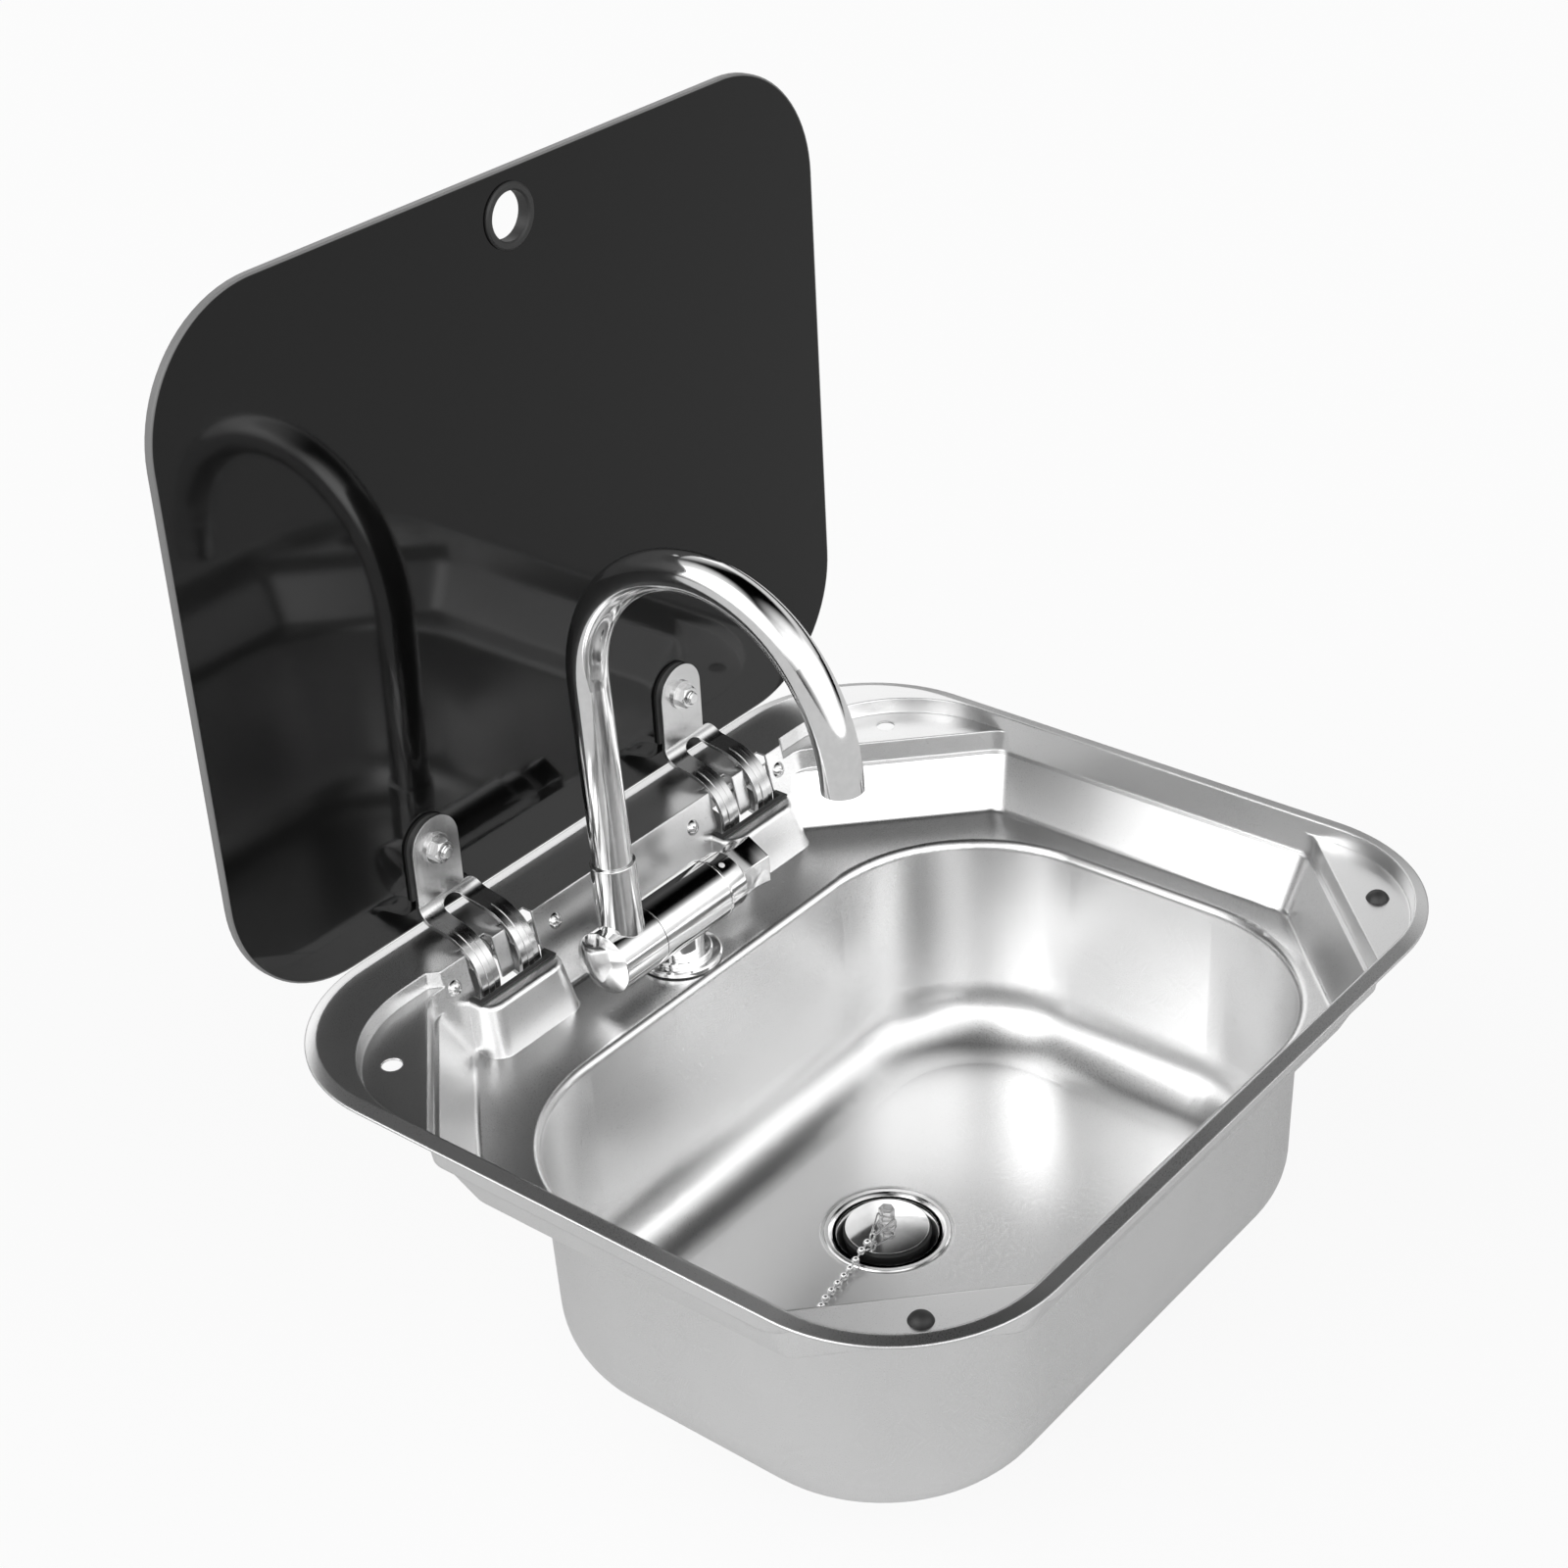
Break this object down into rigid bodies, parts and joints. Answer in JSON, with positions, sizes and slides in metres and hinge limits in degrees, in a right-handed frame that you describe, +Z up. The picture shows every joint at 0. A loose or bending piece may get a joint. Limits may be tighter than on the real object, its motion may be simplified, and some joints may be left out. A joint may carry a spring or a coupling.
{
  "type": "drop-in sink with glass lid and folding tap",
  "caption": "Drop-in stainless sink for a camper van with a hinged black glass lid, a folding swan-neck tap and a plug on a bead chain.",
  "frame": {"origin": "centre of the worktop cut-out, on the worktop, level with the lip of the rim", "axes": "+X to the right of the user, +Y to the rear where the lid is hinged, +Z up"},
  "size_m": [0.42, 0.3731, 0.5172],
  "materials": {
    "stainless_sheet": "satin brushed stainless sheet",
    "polished_steel": "polished stainless",
    "hinge_steel": "rolled stainless strip",
    "zinc_steel": "bright zinc plated",
    "tap_chrome": "mirror chrome",
    "chain_chrome": "bright plated",
    "valve_brass": "plain brass",
    "black_glass": "glossy black tempered glass",
    "black_rubber": "matt",
    "black_plastic": "matt",
    "white_plastic": "matt",
    "clear_plastic": "translucent"
  },
  "bodies": {
    "sink": {"sink_bowl": "stainless_sheet", "rim_seal": "black_rubber", "lid_bumpers": "black_rubber", "wall_screws": "zinc_steel", "wall_screw_nuts": "zinc_steel", "tap_gasket": "black_rubber", "tap_base_flange": "tap_chrome", "tap_body": "tap_chrome", "valve_cartridge": "valve_brass", "tap_shank": "valve_brass", "tap_back_washer": "zinc_steel", "tap_back_nut": "valve_brass", "tap_inlet_tail": "valve_brass", "journal_o_ring": "black_rubber", "waste_flange": "polished_steel", "waste_gasket": "black_rubber", "waste_back_nut": "black_plastic", "pocket_liner_left": "black_rubber", "hinge_bracket_left": "zinc_steel", "hinge_pin_left": "zinc_steel", "hinge_spacers_left": "white_plastic", "pocket_liner_right": "black_rubber", "hinge_bracket_right": "zinc_steel", "hinge_pin_right": "zinc_steel", "hinge_spacers_right": "white_plastic"},
    "lid": {"glass_lid": "black_glass", "finger_grommet": "black_rubber", "lid_bolts": "zinc_steel", "lid_bolt_washers": "black_rubber", "lid_bolt_sleeves": "white_plastic", "lid_nuts": "zinc_steel", "hinge_arm_left": "hinge_steel", "hinge_arm_right": "hinge_steel", "hinge_gasket_left": "black_rubber", "hinge_gasket_right": "black_rubber"},
    "spout_holder": {"spout_holder": "tap_chrome", "holder_end_cap": "tap_chrome", "socket_set_screw": "zinc_steel"},
    "spout": {"spout_tube": "tap_chrome", "spout_aerator": "white_plastic"},
    "knob": {"tap_knob": "tap_chrome", "valve_stem": "valve_brass"},
    "plug": {"plug_rubber": "black_rubber", "plug_cap": "tap_chrome", "plug_post": "clear_plastic", "plug_wire_link": "zinc_steel", "chain_ring": "zinc_steel", "bead_chain": "chain_chrome", "chain_end_ring": "zinc_steel"}
  },
  "joints": [
    {"name": "lid_hinge", "type": "hinge", "parent": "sink", "child": "lid", "pos_m": [0, 0.166, -0.0155], "axis": [1, 0, 0], "range_deg": [0, 90]},
    {"name": "spout_fold", "type": "hinge", "parent": "sink", "child": "spout_holder", "pos_m": [-0.0387, 0.1147, -0.017], "axis": [1, 0, 0], "range_deg": [0, 92.9]},
    {"name": "spout_swivel", "type": "hinge", "parent": "spout_holder", "child": "spout", "pos_m": [-0.0387, 0.1147, -0.017], "axis": [0, 0.0506, 0.9987], "range_deg": [0, 90]},
    {"name": "knob_turn", "type": "hinge", "parent": "sink", "child": "knob", "pos_m": [0.045, 0.1147, -0.017], "axis": [1, 0, 0], "range_deg": [0, 90]},
    {"name": "plug_lift", "type": "slide", "parent": "sink", "child": "plug", "axis": [0, 0, 1], "range_m": [0, 0.04]}
  ],
  "couplings": [
    {"joint": "spout_fold", "follows": "lid_hinge", "ratio": 1.032},
    {"joint": "spout_swivel", "follows": "lid_hinge", "ratio": 1}
  ]
}
